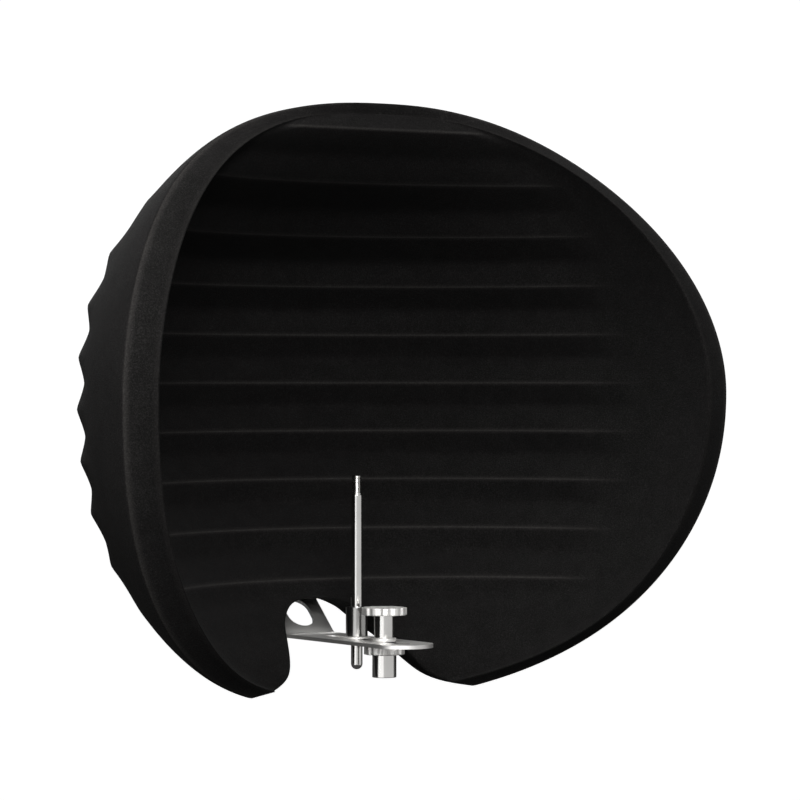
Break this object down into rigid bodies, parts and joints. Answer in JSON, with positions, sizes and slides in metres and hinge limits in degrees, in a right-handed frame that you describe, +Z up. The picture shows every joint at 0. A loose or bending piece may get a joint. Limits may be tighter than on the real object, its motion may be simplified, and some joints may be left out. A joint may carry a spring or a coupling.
{
  "type": "felt vocal shield",
  "caption": "Ribbed black felt bowl that stands behind a vocal microphone, on a slotted steel bracket with a clamp for a microphone stand and an upright post for the microphone.",
  "frame": {"origin": "centre of the stand socket's mouth, on the clamp's axis", "axes": "+Z up along the clamp's axis, -Y out of the bowl's open front, +X to the right when looking into the bowl"},
  "size_m": [0.574, 0.3042, 0.4783],
  "materials": {
    "felt": "matt moulded felt",
    "steel": "satin stainless",
    "zinc_steel": "zinc plated",
    "rubber": "matt",
    "nylon": "matt",
    "brass": "turned"
  },
  "bodies": {
    "stand_mount": {"stand_socket": "steel", "socket_wheel": "steel", "clamp_stud": "steel"},
    "pan_guide": {"slot_guide": "nylon", "lower_washer": "nylon", "pillar_washer": "steel"},
    "shield": {"bracket": "steel", "seat_pad": "rubber", "felt_shell": "felt", "anchor_plate": "zinc_steel", "bracket_screws": "zinc_steel", "screw_washers": "zinc_steel"},
    "knob": {"clamp_pillar": "steel", "clamp_knob": "steel", "knob_insert": "brass"},
    "post_carrier": {"post_stem": "steel", "collar_washer": "steel", "post_collet": "brass"},
    "post_nut": {"post_collar": "steel"},
    "post": {"post_rod": "steel"}
  },
  "joints": [
    {"name": "pan_turn", "type": "hinge", "parent": "stand_mount", "child": "pan_guide", "pos_m": [0, 0, 0], "axis": [0, 0, 1], "continuous": true},
    {"name": "shield_slide", "type": "slide", "parent": "pan_guide", "child": "shield", "axis": [0, 1, 0], "range_m": [-0.004, 0.024]},
    {"name": "knob_turn", "type": "hinge", "parent": "stand_mount", "child": "knob", "pos_m": [0, 0, 0.04], "axis": [0, 0, 1], "range_deg": [0, 720]},
    {"name": "post_slide", "type": "slide", "parent": "shield", "child": "post_carrier", "axis": [0, 1, 0], "range_m": [-0.008, 0.036]},
    {"name": "collar_turn", "type": "hinge", "parent": "post_carrier", "child": "post_nut", "pos_m": [0, 0.0415, 0.04], "axis": [0, 0, 1], "range_deg": [0, 360]},
    {"name": "rod_slide", "type": "slide", "parent": "post_carrier", "child": "post", "axis": [0, 0, 1], "range_m": [-0.03, 0.02]}
  ]
}
